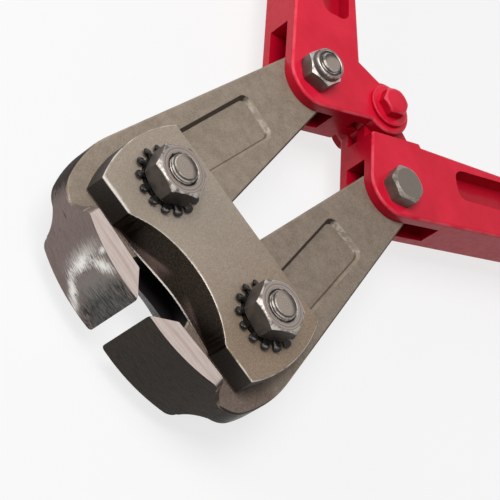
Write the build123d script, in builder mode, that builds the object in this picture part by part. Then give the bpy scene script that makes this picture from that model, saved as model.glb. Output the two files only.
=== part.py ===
import os
from math import acos, atan2, cos, degrees, hypot, radians, sin, sqrt, tan

from build123d import *

os.makedirs("parts", exist_ok=True)

# Lengths are in millimetres and angles in degrees. The jaws point along -Y, the handles along +Y.
# The head is drawn about the point midway between the jaw bolts, on the middle plane of the jaws.

# straps, the two plates that carry the jaw bolts
BOLT_SPACING = 51.5
STRAP_T = 9.0
STRAP_FRONT = 21.0
STRAP_REAR = 19.8
STRAP_CORNER = 38.2
STRAP_BULGE = 4.2
SCOOP_HALF = 24.2
SCOOP_DEPTH = 9.6
STRAP_ROUND = 0.6

# jaws, drawn closed about their own bolt, with x outwards and the cutting edge at the least x
JAW_T = 9.0
JAW_OPEN = 4.4
JAW_ROUND = 1.0
ARM_LENGTH = 98.3
ARM_OFFSET = 6.3
ARM_END_R = 10.5
ARM_LEAN = 10.0
HUB_X = 22.0
HUB_LOW_X = 17.5
HUB_LOW_Y = 24.0
CHEEK_SPAN = 38.1
FRONT_R = 58.0
FRONT_SHIFT = 8.9
BEAK_REACH = 36.4
BEAK_WIDTH = 24.6
BEAK_SPAN = 30.7
BEAK_DEPTH = 7.8
THROAT_BULGE = 3.4
THROAT_Y = 18.9
HEEL_FRONT_X = 0.7
HEEL_FRONT_Y = 8.6
HEEL_REAR_X = 2.2
HEEL_REAR_Y = 9.0
CROTCH_X = 7.6
CROTCH_Y = 19.0
PANEL_W = 17.4
PANEL_DEPTH = 1.8
PANEL_DRAFT = 1.3
PANEL_END = 67.0
PANEL_LENGTH = 48.0
PANEL_SHIFT = 2.0
PANEL_R = 4.0

# handle heads, drawn about their rear pivot with x along the shank and y towards the centre bolt
TOGGLE = 32.8
TOGGLE_SWEEP = 2.0
HEAD_T = 18.0
EAR_R = 12.0
EAR_SHIFT = 1.6
LUG_R = 10.2
NECK_HALF = 6.5
NECK_FLARE = 1.5
SHOULDER = 14.0
SHANK_OUT = 10.2
SHANK_IN = 20.2
SHANK_TAPER = 3.2
SHANK_LENGTH = 74.0
SLOT_DEPTH = 21.0
WEB_START = 30.0
WEB_STOP = 6.0
WEB_R = 4.0
WEB_W = 12.0
WEB_SHIFT = 4.0
WEB_DEPTH = 5.6
CRANK = 11.0
HEAD_ROUND = 1.2

# handle tubes and grips
TUBE_D = 25.0
TUBE_WALL = 2.5
TUBE_LENGTH = 358.0
SOCKET_D = 28.0
SOCKET_BLEND = 22.0
SOCKET_LENGTH = 28.0
SPIGOT_LENGTH = 42.0
PIN_D = 5.0
PIN_PROUD = 0.6
PIN_CHAMFER = 0.4
GRIP_D = 32.0
GRIP_LENGTH = 150.0
GRIP_END = 5.0
GRIP_ROUND = 6.0
GUARD_D = 38.0
GUARD_T = 6.0
GUARD_ROUND = 2.4

# fasteners
JAW_BOLT_D = 10.0
JAW_AF = 17.0
JAW_NUT_H = 8.0
JAW_HEAD_H = 6.4
STAR_D = 24.3
STAR_T = 1.3
STAR_TEETH = 14
STAR_TOOTH_R = 2.1
PIVOT_D = 8.0
PIVOT_AF = 13.0
PIVOT_HEAD_H = 5.3
LOCK_NUT_H = 8.0
LOCK_HEX_H = 5.6
LOCK_COLLAR_D = 12.0
LOCK_END = 0.8
RING_T = 1.8
RING_LIP = 0.6
RING_WALL = 0.8
RING_HOLD = 0.5
CENTRE_D = 6.0
CENTRE_AF = 10.0
CENTRE_HEAD_H = 4.0
CENTRE_NUT_H = 5.0
CENTRE_WASHER_D = 16.0
CENTRE_WASHER_T = 1.6
BOLT_PROUD = 1.6
BOLT_CHAMFER = 0.5
HEX_TURN = 50.0
HEX_CHAMFER = 30.0
HEX_FACE = 0.95

# clearances
RUN_FIT = 0.05
SIDE_GAP = 0.15
LUG_GAP = 0.3
ARM_GAP = 1.0
EDGE_GAP = 0.05
HEEL_GAP = 0.45
STAR_GAP = 0.2
SEAM = 0.15
CENTRE_PLAY = 1.5
TUBE_FIT = 0.05
OVERCUT = 1.0

# levels above the middle plane
half_t = JAW_T / 2
strap_in = half_t + SIDE_GAP
strap_out = strap_in + STRAP_T
slot_half = half_t + SIDE_GAP
head_half = HEAD_T / 2
half_spacing = BOLT_SPACING / 2

# where the linkage stands: the jaws are open, which sets the rear pivots, and they set the handles
swing = radians(JAW_OPEN)
pivot_x = half_spacing + ARM_OFFSET * cos(swing) - ARM_LENGTH * sin(swing)
pivot_y = ARM_OFFSET * sin(swing) + ARM_LENGTH * cos(swing)
toggle_angle = degrees(acos(pivot_x / TOGGLE))
spread = radians(toggle_angle - TOGGLE_SWEEP)
centre_y = pivot_y + sqrt(TOGGLE**2 - pivot_x**2)
lug_x = TOGGLE * sin(radians(TOGGLE_SWEEP))
lug_y = TOGGLE * cos(radians(TOGGLE_SWEEP))
shank_mid = (SHANK_IN - SHANK_OUT) / 2
tube_spread = spread - radians(CRANK)

# the origin is under the middle of the open tool, at the level of its lowest point
tube_run = SOCKET_LENGTH + TUBE_LENGTH + GRIP_END
grip_tip = (
    pivot_y
    + SHANK_LENGTH * cos(spread)
    + shank_mid * sin(spread)
    + (tube_run - GRIP_ROUND) * cos(tube_spread)
    + (GRIP_D / 2 - GRIP_ROUND) * sin(tube_spread)
    + GRIP_ROUND
)
beak_tip = -BEAK_REACH * cos(swing) - half_spacing * sin(swing)
jaw_low = strap_out + JAW_HEAD_H
centre_low = head_half + LUG_GAP + CENTRE_WASHER_T + CENTRE_NUT_H + BOLT_PROUD
guard_low = GUARD_D / 2
HEAD = Vector(0, -(grip_tip + beak_tip) / 2, max(jaw_low, centre_low, guard_low))


def place(x, y, turn, face=1):
    """A plane at a point of the head, turned about Z; face -1 lays it upside down."""
    return Plane(
        origin=HEAD + Vector(x, y, 0),
        x_dir=(cos(radians(turn)), sin(radians(turn)), 0),
        z_dir=(0, 0, face),
    )


middle = place(0, 0, 0)
sides = {
    "left": {
        "bolt": place(-half_spacing, 0, 0),
        "jaw": place(-half_spacing, 0, 180 - JAW_OPEN, -1),
        "handle": place(-pivot_x, pivot_y, 90 + degrees(spread), -1),
    },
    "right": {
        "bolt": place(half_spacing, 0, 0),
        "jaw": place(half_spacing, 0, JAW_OPEN),
        "handle": place(pivot_x, pivot_y, 90 - degrees(spread)),
    },
}


def keep(builder, name):
    """Label a finished part and write its STEP file."""
    builder.part.label = name
    export_step(builder.part, f"parts/{name}.step")


def rim(builder, plane):
    """The edges round the face of a plate that is furthest along the normal of a plane."""
    face = builder.faces().sort_by(Axis(plane.origin, plane.z_dir))[-1]
    return face.outer_wire().edges()


def hexagon(af, plane, low, high, bore=0.0, crowned=(True, True)):
    """A hexagon from one level to another, its corners turned off at the crowned ends."""
    face_r = HEX_FACE * af / 2
    wide_r = af / sqrt(3) + OVERCUT
    rise = (wide_r - face_r) * tan(radians(HEX_CHAMFER))
    cone_low = low if crowned[0] else low - rise
    cone_high = high if crowned[1] else high + rise
    with BuildPart() as part:
        with BuildSketch(plane.offset(low)):
            RegularPolygon(af / 2, 6, major_radius=False, rotation=HEX_TURN)
        extrude(amount=high - low)
        with BuildSketch(Plane(origin=plane.origin, x_dir=plane.x_dir, z_dir=-plane.y_dir)):
            with BuildLine():
                Polyline(
                    (0, cone_low),
                    (face_r, cone_low),
                    (wide_r, cone_low + rise),
                    (wide_r, cone_high - rise),
                    (face_r, cone_high),
                    (0, cone_high),
                    close=True,
                )
            make_face()
        revolve(axis=Axis(plane.origin, plane.z_dir), mode=Mode.INTERSECT)
        if bore > 0:
            with BuildSketch(plane.offset(low)):
                Circle(bore / 2)
            extrude(amount=high - low, mode=Mode.SUBTRACT)
    return part


# straps
strap_level = (strap_in + strap_out) / 2
for name, level in (("upper_strap", strap_level), ("lower_strap", -strap_level)):
    base = middle.offset(level)
    with BuildPart() as strap:
        with BuildSketch(base):
            with BuildLine():
                Line((-STRAP_CORNER, -STRAP_FRONT), (-SCOOP_HALF, -STRAP_FRONT))
                ThreePointArc(
                    (-SCOOP_HALF, -STRAP_FRONT),
                    (0, SCOOP_DEPTH - STRAP_FRONT),
                    (SCOOP_HALF, -STRAP_FRONT),
                )
                Line((SCOOP_HALF, -STRAP_FRONT), (STRAP_CORNER, -STRAP_FRONT))
                ThreePointArc(
                    (STRAP_CORNER, -STRAP_FRONT),
                    (STRAP_CORNER + STRAP_BULGE, 0),
                    (STRAP_CORNER, STRAP_REAR),
                )
                Line((STRAP_CORNER, STRAP_REAR), (-STRAP_CORNER, STRAP_REAR))
                ThreePointArc(
                    (-STRAP_CORNER, STRAP_REAR),
                    (-STRAP_CORNER - STRAP_BULGE, 0),
                    (-STRAP_CORNER, -STRAP_FRONT),
                )
            make_face()
            with Locations((-half_spacing, 0), (half_spacing, 0)):
                Circle(JAW_BOLT_D / 2 + RUN_FIT, mode=Mode.SUBTRACT)
        extrude(amount=STRAP_T / 2)
        fillet(rim(strap, base), STRAP_ROUND)
        mirror(about=base)
    keep(strap, name)

# jaws: a plate with an arm, and a beak whose ground front runs on round the cheek of the plate
tip_x = -half_spacing + EDGE_GAP
bevel_x = tip_x + BEAK_DEPTH
bevel_y = BEAK_DEPTH - BEAK_REACH
cheek_x = tip_x + CHEEK_SPAN
beak_mid = tip_x + BEAK_SPAN / 2
front_x = tip_x + FRONT_SHIFT
front_y = sqrt(FRONT_R**2 - FRONT_SHIFT**2) - BEAK_REACH
flare_r = BEAK_WIDTH / 2 - half_t + JAW_ROUND + SEAM
flare_x = tip_x + BEAK_SPAN + flare_r


def front_at(x, inset=0.0):
    """A point of the beak's front, or of the plate that lies a little behind it."""
    return (x, front_y - sqrt((FRONT_R - inset) ** 2 - (x - front_x) ** 2))


for side, planes in sides.items():
    base = planes["jaw"]
    with BuildPart() as beak:
        with BuildSketch(base.offset(-BEAK_WIDTH / 2)):
            with BuildLine():
                front = ThreePointArc(front_at(tip_x), front_at(beak_mid), front_at(cheek_x))
                Polyline(front @ 1, (bevel_x, bevel_y), front @ 0)
            make_face()
        extrude(amount=BEAK_WIDTH)
        # a hollow above and below narrows the beak to the thickness of the plate
        with BuildSketch(Plane(origin=base.origin, x_dir=base.x_dir, z_dir=-base.y_dir)):
            with Locations((flare_x, BEAK_WIDTH / 2), (flare_x, -BEAK_WIDTH / 2)):
                Circle(flare_r)
        extrude(amount=BEAK_REACH + FRONT_SHIFT, mode=Mode.SUBTRACT)
    with BuildPart() as jaw:
        with BuildSketch(base):
            with BuildLine():
                throat = ThreePointArc(
                    (bevel_x, bevel_y - 2 * JAW_ROUND),
                    (bevel_x + THROAT_BULGE, -THROAT_Y),
                    (tip_x + HEEL_FRONT_X, -HEEL_FRONT_Y),
                )
                heel = ThreePointArc(
                    throat @ 1,
                    (tip_x + HEEL_GAP, 0),
                    (tip_x + HEEL_REAR_X, HEEL_REAR_Y),
                )
                inner = Line(heel @ 1, (tip_x + CROTCH_X, CROTCH_Y))
                lean = radians(ARM_LEAN)
                arm_x = ARM_OFFSET - ARM_END_R * cos(lean)
                arm = Line(inner @ 1, (arm_x, ARM_LENGTH + ARM_END_R * sin(lean)))
                end = ThreePointArc(
                    arm @ 1,
                    (ARM_OFFSET, ARM_LENGTH + ARM_END_R),
                    (ARM_OFFSET + ARM_END_R, ARM_LENGTH),
                )
                outer = Line(end @ 1, (HUB_X, 0))
                hub = TangentArc(outer @ 1, (HUB_LOW_X, -HUB_LOW_Y), tangent=outer % 1)
                cheek = TangentArc(hub @ 1, front_at(cheek_x, SEAM), tangent=hub % 1)
                ground = ThreePointArc(
                    cheek @ 1,
                    front_at((cheek_x + beak_mid) / 2, SEAM),
                    front_at(beak_mid, SEAM),
                )
                Line(ground @ 1, throat @ 0)
            make_face()
        extrude(amount=half_t)
        # every edge is rounded but the heel, the one nearest to the other jaw
        fillet(rim(jaw, base).sort_by(Axis(base.origin, base.x_dir))[1:], JAW_ROUND)
        mirror(about=base)
        add(beak.part)
        # the sunk panel has sloping walls
        for face, floor in ((-half_t, PANEL_DEPTH - half_t), (half_t, half_t - PANEL_DEPTH)):
            for level, slope in ((face, 0.0), (floor, PANEL_DRAFT)):
                with BuildSketch(base.offset(level)):
                    with Locations((ARM_OFFSET - PANEL_SHIFT, PANEL_END - PANEL_LENGTH / 2)):
                        RectangleRounded(PANEL_W - 2 * slope, PANEL_LENGTH - 2 * slope, PANEL_R - slope)
            loft(mode=Mode.SUBTRACT)
        with BuildSketch(base.offset(-half_t)):
            Circle(JAW_BOLT_D / 2 + RUN_FIT)
            with Locations((ARM_OFFSET, ARM_LENGTH)):
                Circle(PIVOT_D / 2 + RUN_FIT)
        extrude(amount=JAW_T, mode=Mode.SUBTRACT)
    keep(jaw, f"{side}_jaw")

# jaw bolts, nuts and star washers
star_pitch = STAR_D / 2 - STAR_TOOTH_R
for side, planes in sides.items():
    base = planes["bolt"]
    nut_low = strap_out + STAR_T
    nut_high = nut_low + JAW_NUT_H
    keep(hexagon(JAW_AF, base, nut_low, nut_high, JAW_BOLT_D + 2 * RUN_FIT), f"{side}_jaw_nut")
    with BuildPart() as star:
        with BuildSketch(base.offset(strap_out)):
            Circle(star_pitch)
            with PolarLocations(star_pitch, STAR_TEETH):
                Circle(STAR_TOOTH_R)
            Circle(JAW_BOLT_D / 2 + STAR_GAP, mode=Mode.SUBTRACT)
        extrude(amount=STAR_T)
    keep(star, f"{side}_star_washer")
    with BuildPart() as bolt:
        add(hexagon(JAW_AF, base, -strap_out - JAW_HEAD_H, -strap_out, 0.0, (True, False)).part)
        with BuildSketch(base.offset(-strap_out)):
            Circle(JAW_BOLT_D / 2)
        extrude(amount=strap_out + nut_high + BOLT_PROUD)
        chamfer(bolt.edges().sort_by(Axis.Z)[-1], BOLT_CHAMFER)
    keep(bolt, f"{side}_jaw_bolt")

# handle heads: a fork round the jaw arm, two of the four layers at the centre bolt, an I-shaped shank
lug_layer = head_half / 2
wall_y = lug_y - LUG_R - CENTRE_PLAY
web_end = SHANK_LENGTH - WEB_STOP
slot_l = SLOT_DEPTH + EAR_R + OVERCUT
slot_w = ARM_END_R + ARM_GAP + EAR_R + OVERCUT
lug_rooms = (
    (-lug_layer - LUG_GAP / 2, LUG_GAP / 2),
    (lug_layer - LUG_GAP / 2, head_half + OVERCUT),
)
room_w = 2 * (LUG_R + SHOULDER)
room_l = 2 * LUG_R + CENTRE_PLAY + OVERCUT
neck = (lug_x - NECK_HALF, lug_y)
root = (SHANK_LENGTH, SHANK_TAPER - SHANK_OUT)


def touch(point, turn):
    """The angle on the ear where a line from a point touches it, to the left (1) or right (-1)."""
    across, along = point[0], point[1] - EAR_SHIFT
    return degrees(atan2(along, across)) + turn * degrees(acos(EAR_R / hypot(across, along)))


ear_start = touch(neck, 1)
ear_sweep = 360 + touch(root, -1) - ear_start
for side, planes in sides.items():
    base = planes["handle"]
    tube = Plane(
        origin=base.from_local_coords((SHANK_LENGTH, shank_mid, 0)),
        x_dir=base.z_dir,
        z_dir=base.x_dir.rotate(Axis((0, 0, 0), base.z_dir), CRANK),
    )
    planes["tube"] = tube
    with BuildPart() as head:
        with BuildSketch(base):
            with BuildLine():
                ear = CenterArc((0, EAR_SHIFT), EAR_R, ear_start, ear_sweep)
                Polyline(
                    ear @ 1,
                    root,
                    (SHANK_LENGTH, SHANK_IN - SHANK_TAPER),
                    (lug_x + SHOULDER, SHANK_IN),
                    (lug_x + NECK_HALF + NECK_FLARE, lug_y),
                    neck,
                    ear @ 0,
                )
            make_face()
            with Locations((lug_x, lug_y)):
                Circle(LUG_R)
        extrude(amount=head_half)
        fillet(rim(head, base), HEAD_ROUND)
        mirror(about=base)
        # the recess on either face leaves the web of the I
        with BuildSketch(base.offset(-head_half), base.offset(head_half - WEB_DEPTH)):
            with Locations(((WEB_START + web_end) / 2, shank_mid + WEB_SHIFT)):
                RectangleRounded(web_end - WEB_START, WEB_W, WEB_R)
        extrude(amount=WEB_DEPTH, mode=Mode.SUBTRACT)
        # room for the jaw arm
        with BuildSketch(base.offset(-slot_half)):
            with Locations((SLOT_DEPTH, ARM_END_R + ARM_GAP)):
                Rectangle(slot_l, slot_w, align=(Align.MAX, Align.MAX))
        extrude(amount=2 * slot_half, mode=Mode.SUBTRACT)
        # room for the other handle's two lugs
        for low, high in lug_rooms:
            with BuildSketch(base.offset(low)):
                with Locations((lug_x, wall_y)):
                    Rectangle(room_w, room_l, align=(Align.CENTER, Align.MIN))
            extrude(amount=high - low, mode=Mode.SUBTRACT)
        # the shank runs out into a round socket and a spigot for the tube
        shank_end = Plane(origin=tube.origin, x_dir=base.z_dir, z_dir=base.x_dir)
        with BuildSketch(shank_end):
            RectangleRounded(HEAD_T, SHANK_IN + SHANK_OUT - 2 * SHANK_TAPER, HEAD_ROUND)
        with BuildSketch(tube.offset(SOCKET_BLEND)):
            Circle(SOCKET_D / 2)
        loft()
        with BuildSketch(tube.offset(SOCKET_BLEND)):
            Circle(SOCKET_D / 2)
        extrude(amount=SOCKET_LENGTH - SOCKET_BLEND)
        with BuildSketch(tube.offset(SOCKET_LENGTH)):
            Circle(TUBE_D / 2 - TUBE_WALL - TUBE_FIT)
        extrude(amount=SPIGOT_LENGTH)
        # bores
        with BuildSketch(base.offset(-head_half)):
            Circle(PIVOT_D / 2 + RUN_FIT)
        extrude(amount=HEAD_T, mode=Mode.SUBTRACT)
        play = RUN_FIT if side == "left" else CENTRE_PLAY
        with BuildSketch(base.offset(-head_half)):
            with Locations((lug_x, lug_y)):
                Circle(CENTRE_D / 2 + play)
        extrude(amount=HEAD_T, mode=Mode.SUBTRACT)
        pin_line = tube.offset(SOCKET_LENGTH + SPIGOT_LENGTH / 2)
        with BuildSketch(Plane(origin=pin_line.origin, x_dir=tube.y_dir, z_dir=tube.x_dir)):
            Circle(PIN_D / 2 + TUBE_FIT)
        extrude(amount=TUBE_D, both=True, mode=Mode.SUBTRACT)
    keep(head, f"{side}_handle_head")

# rear pivots, lock nuts and their nylon rings, on each handle's own plane, so the left ones are upside down
for side, planes in sides.items():
    base = planes["handle"]
    with BuildPart() as bolt:
        add(hexagon(PIVOT_AF, base, head_half, head_half + PIVOT_HEAD_H, 0.0, (False, True)).part)
        with BuildSketch(base.offset(head_half)):
            Circle(PIVOT_D / 2)
        extrude(amount=-HEAD_T - LOCK_NUT_H - LOCK_END)
    keep(bolt, f"{side}_pivot_bolt")
    nut_low = -head_half - LOCK_NUT_H
    ring_r = LOCK_COLLAR_D / 2 - RING_WALL
    with BuildPart() as nut:
        add(hexagon(PIVOT_AF, base, -head_half - LOCK_HEX_H, -head_half).part)
        with BuildSketch(base.offset(nut_low)):
            Circle(LOCK_COLLAR_D / 2)
        extrude(amount=LOCK_NUT_H - LOCK_HEX_H / 2)
        with BuildSketch(base.offset(nut_low)):
            Circle(ring_r - RING_HOLD)
        extrude(amount=RING_LIP, mode=Mode.SUBTRACT)
        with BuildSketch(base.offset(nut_low + RING_LIP)):
            Circle(ring_r)
        extrude(amount=RING_T, mode=Mode.SUBTRACT)
        with BuildSketch(base.offset(nut_low)):
            Circle(PIVOT_D / 2 + RUN_FIT)
        extrude(amount=LOCK_NUT_H, mode=Mode.SUBTRACT)
    keep(nut, f"{side}_lock_nut")
    with BuildPart() as ring:
        with BuildSketch(base.offset(nut_low + RING_LIP)):
            Circle(ring_r - RUN_FIT)
            Circle(PIVOT_D / 2 + RUN_FIT, mode=Mode.SUBTRACT)
        extrude(amount=RING_T)
    keep(ring, f"{side}_lock_ring")

# centre bolt, carried by the left handle
base = place(0, centre_y, 0)
washers = {
    "centre_washer": head_half,
    "lower_centre_washer": -head_half - LUG_GAP - CENTRE_WASHER_T,
}
for name, level in washers.items():
    with BuildPart() as washer:
        with BuildSketch(base.offset(level)):
            Circle(CENTRE_WASHER_D / 2)
            Circle(CENTRE_D / 2 + RUN_FIT, mode=Mode.SUBTRACT)
        extrude(amount=CENTRE_WASHER_T)
    keep(washer, name)
nut_high = washers["lower_centre_washer"]
nut_low = nut_high - CENTRE_NUT_H
keep(hexagon(CENTRE_AF, base, nut_low, nut_high, CENTRE_D + 2 * RUN_FIT), "centre_nut")
with BuildPart() as bolt:
    seat = head_half + CENTRE_WASHER_T
    add(hexagon(CENTRE_AF, base, seat, seat + CENTRE_HEAD_H, 0.0, (False, True)).part)
    with BuildSketch(base.offset(nut_low - BOLT_PROUD)):
        Circle(CENTRE_D / 2)
    extrude(amount=seat - nut_low + BOLT_PROUD)
keep(bolt, "centre_bolt")

# handle tubes, the pins that hold them and the grips
for side, planes in sides.items():
    base = planes["tube"]
    pin_line = base.offset(SOCKET_LENGTH + SPIGOT_LENGTH / 2)
    pin_plane = Plane(origin=pin_line.origin, x_dir=base.y_dir, z_dir=base.x_dir)
    with BuildPart() as tube:
        with BuildSketch(base.offset(SOCKET_LENGTH)):
            Circle(TUBE_D / 2)
            Circle(TUBE_D / 2 - TUBE_WALL, mode=Mode.SUBTRACT)
        extrude(amount=TUBE_LENGTH)
        with BuildSketch(pin_plane):
            Circle(PIN_D / 2 + TUBE_FIT)
        extrude(amount=TUBE_D, both=True, mode=Mode.SUBTRACT)
    keep(tube, f"{side}_handle_tube")
    with BuildPart() as pin:
        with BuildSketch(pin_plane):
            Circle(PIN_D / 2)
        extrude(amount=TUBE_D / 2 + PIN_PROUD, both=True)
        chamfer(pin.edges().filter_by(GeomType.CIRCLE), PIN_CHAMFER)
    keep(pin, f"{side}_tube_pin")
    tail = SOCKET_LENGTH + TUBE_LENGTH + GRIP_END
    with BuildPart() as grip:
        with BuildSketch(base.offset(tail - GRIP_LENGTH)):
            Circle(GRIP_D / 2)
        extrude(amount=GRIP_LENGTH)
        fillet(grip.faces().sort_by(Axis(base.origin, base.z_dir))[-1].edges(), GRIP_ROUND)
        with BuildSketch(base.offset(tail - GRIP_LENGTH)):
            Circle(GUARD_D / 2)
        extrude(amount=GUARD_T)
        fillet(grip.edges().filter_by(GeomType.CIRCLE).sort_by(SortBy.RADIUS)[-2:], GUARD_ROUND)
        with BuildSketch(base.offset(tail - GRIP_LENGTH)):
            Circle(TUBE_D / 2 + TUBE_FIT)
        extrude(amount=GRIP_LENGTH - GRIP_END, mode=Mode.SUBTRACT)
    keep(grip, f"{side}_grip")
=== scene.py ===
import math

import bmesh
import bpy
import numpy as np
from mathutils import Matrix, Vector


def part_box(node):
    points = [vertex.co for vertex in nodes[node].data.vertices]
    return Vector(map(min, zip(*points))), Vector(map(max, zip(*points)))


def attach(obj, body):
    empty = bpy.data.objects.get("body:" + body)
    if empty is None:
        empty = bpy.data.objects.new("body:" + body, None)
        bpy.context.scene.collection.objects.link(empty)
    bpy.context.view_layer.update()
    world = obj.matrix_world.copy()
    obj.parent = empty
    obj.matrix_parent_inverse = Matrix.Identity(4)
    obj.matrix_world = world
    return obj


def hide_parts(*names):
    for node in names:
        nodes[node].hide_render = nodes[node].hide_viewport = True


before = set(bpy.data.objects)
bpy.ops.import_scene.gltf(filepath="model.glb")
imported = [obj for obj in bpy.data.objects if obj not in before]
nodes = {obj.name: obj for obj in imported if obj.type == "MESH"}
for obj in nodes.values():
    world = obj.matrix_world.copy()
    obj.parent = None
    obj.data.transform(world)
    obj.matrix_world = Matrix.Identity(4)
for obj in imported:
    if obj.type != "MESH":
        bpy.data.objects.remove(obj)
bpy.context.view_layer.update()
scene = bpy.context.scene

# Everything is in metres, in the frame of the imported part. MM turns millimetres into metres.
MM = 0.001
SIDES = ("left", "right")
UP = np.array((0, 0, 1))


def mm(*values):
    """Several lengths given in millimetres."""
    return tuple(v * MM for v in values)


# the camera, from the point midway between the jaw bolts; its angles are in degrees
CAM_AZIMUTH = -4.777
CAM_ELEVATION = 42.0
CAM_ROLL = 57.19
CAM_RIGHT = 19.30 * MM
CAM_UP = 5.40 * MM
CAM_BACK = 655.413 * MM
CAM_LENS = 151.2
CAM_SENSOR = 36.0
CAM_NEAR = 0.01

# how far the jaws stand open at rest, in degrees
JAW_OPEN = 4.4
# a sharp edge is one that turns by more than this; a bevel takes in slightly softer ones
SHARP = math.radians(24)
BEVEL_FROM = SHARP * 0.7
BEVEL_STEPS = 3


def centre_of(node):
    """Middle of a node's box."""
    low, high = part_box(node)
    return (low + high) / 2


def levels_of(node):
    """Lowest and highest level of a node."""
    low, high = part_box(node)
    return low.z, high.z


def points_of(node):
    """All corners of a node's mesh as an array."""
    mesh = nodes[node].data
    flat = np.empty(len(mesh.vertices) * 3)
    mesh.vertices.foreach_get("co", flat)
    return flat.reshape(-1, 3)


left_bolt = centre_of("left_jaw_bolt")
right_bolt = centre_of("right_jaw_bolt")
strap_low = levels_of("lower_strap")[0]
mid_level = (levels_of("upper_strap")[1] + strap_low) / 2
head = Vector(((left_bolt.x + right_bolt.x) / 2, (left_bolt.y + right_bolt.y) / 2, mid_level))


# Camera
azimuth, elevation, roll = (math.radians(a) for a in (CAM_AZIMUTH, CAM_ELEVATION, CAM_ROLL))
flat = math.cos(elevation)
cam_back = Vector((math.sin(azimuth) * flat, -math.cos(azimuth) * flat, math.sin(elevation)))
level_right = Vector((math.cos(azimuth), math.sin(azimuth), 0))
level_up = cam_back.cross(level_right)
cam_right = math.cos(roll) * level_right + math.sin(roll) * level_up
cam_up = -math.sin(roll) * level_right + math.cos(roll) * level_up
cam_place = Matrix((cam_right, cam_up, cam_back)).transposed().to_4x4()
cam_place.translation = head + CAM_RIGHT * cam_right + CAM_UP * cam_up + CAM_BACK * cam_back
camera = bpy.data.objects.new("camera", bpy.data.cameras.new("camera"))
camera.data.lens = CAM_LENS
camera.data.sensor_width = CAM_SENSOR
camera.data.clip_start = CAM_NEAR
camera.matrix_world = cam_place
scene.collection.objects.link(camera)
scene.camera = camera


# Shapes
def surface(grid, closed=False):
    """Points and faces of a skin over a grid: rows follow a profile, columns go once round.
    closed joins the last row to the first; otherwise each end row is filled by a fan to its middle."""
    rows, cols = grid.shape[:2]
    index = np.arange(rows * cols).reshape(rows, cols)
    after = np.roll(index, -1, axis=1)
    points = grid.reshape(-1, 3)
    if closed:
        above, above_after = np.roll(index, -1, axis=0), np.roll(after, -1, axis=0)
        return points, [np.stack([index, after, above_after, above], -1).reshape(-1, 4)]
    quads = np.stack([index[:-1], after[:-1], after[1:], index[1:]], -1).reshape(-1, 4)
    middles = np.stack([grid[0].mean(0), grid[-1].mean(0)])
    first, last = np.full(cols, rows * cols), np.full(cols, rows * cols + 1)
    low_fan = np.stack([after[0], index[0], first], -1)
    high_fan = np.stack([index[-1], after[-1], last], -1)
    return np.concatenate([points, middles]), [quads, low_fan, high_fan]


def signed_volume(points, faces):
    """Sum of the tetrahedra from the origin to each face, taken as a fan of triangles."""
    total = 0.0
    for group in faces:
        for k in range(1, group.shape[1] - 1):
            a, b, c = (points[group[:, i]] for i in (0, k, k + 1))
            total += np.einsum("ij,ij->i", a, np.cross(b, c)).sum()
    return total


def piece(node, skins, body, slot, material, bevel=0.0, axis=None, groove=None):
    """An object of one or more skins in place of a node, faces turned outwards, that rides on a body. Each
    point keeps its distance from a given axis, for marks of the lathe, and how deep it lies in a given
    thread, from 0 to 1. The thread's rows come last, before the two middles of the ends."""
    points, faces, base, kept = [], [], 0, {}
    for skin_points, skin_faces in skins:
        order = -1 if signed_volume(skin_points, skin_faces) < 0 else 1
        for group in skin_faces:
            faces += (group[:, ::order] + base).tolist()
        points.append(skin_points)
        base += len(skin_points)
    points = np.concatenate(points)
    name = f"{node}_dressed"
    mesh = bpy.data.meshes.new(name)
    mesh.from_pydata(points.tolist(), [], faces)
    mesh.validate()
    mesh.shade_smooth()
    mesh.set_sharp_from_angle(angle=SHARP)
    if axis is not None:
        kept["from_axis"] = np.hypot(*(points[:, :2] - np.array(axis[:2])).T)
    if groove is not None:
        kept["in_groove"] = np.zeros(len(points))
        kept["in_groove"][-groove.size - 2 : -2] = groove.ravel()
    for key, values in kept.items():
        mesh.attributes.new(key, "FLOAT", "POINT").data.foreach_set("value", values)
    mesh.materials.append(material)
    made = bpy.data.objects.new(name, mesh)
    scene.collection.objects.link(made)
    if bevel:
        cut = made.modifiers.new("edges", "BEVEL")
        cut.width = bevel
        cut.segments = BEVEL_STEPS
        cut.limit_method = "ANGLE"
        cut.angle_limit = BEVEL_FROM
    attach(made, body)
    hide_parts(node)


def angles(count, start=0.0):
    """Evenly spaced angles once round."""
    return start + np.arange(count) * 2 * np.pi / count


HEX_STEPS = 96
HEX_SLOPE = math.tan(math.radians(30))


def hex_angles(node, axis):
    """Angles once round, from the corner of a node's hexagon that stands furthest from an upright axis."""
    flat = points_of(node)[:, :2] - np.array(axis[:2])
    far = flat[np.argmax(np.hypot(flat[:, 0], flat[:, 1]))]
    return angles(HEX_STEPS, math.atan2(far[1], far[0]))


# A profile is a list of rows (radius, level), where each is one number or one for every angle.
def hex_rows(af, low, high, theta, low_face=None, high_face=None, blunt=np.inf):
    """Rows of a hexagon: half the width across flats over the cosine of the angle from the nearest middle of
    a side, at most blunt. The flats stop where a cone of 30 degrees, from a round face of the given radius,
    meets them. An end without a face is left plain."""
    third = np.pi / 3
    flat = np.minimum(af / 2 / np.cos((theta - theta[0]) % third - third / 2), blunt)
    ends = []
    for level, face, inward in ((low, low_face, 1), (high, high_face, -1)):
        if face is None:
            ends.append([(flat, level)])
        else:
            cut = level + inward * np.clip(flat - face, 0, None) * HEX_SLOPE
            ends.append([(face, level), (flat, cut)])
    return ends[0] + ends[1][::-1]


def washer_rows(inner, outer, low, high):
    """Rows of a flat ring with square edges."""
    return [(inner, low), (outer, low), (outer, high), (inner, high)]


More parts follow.
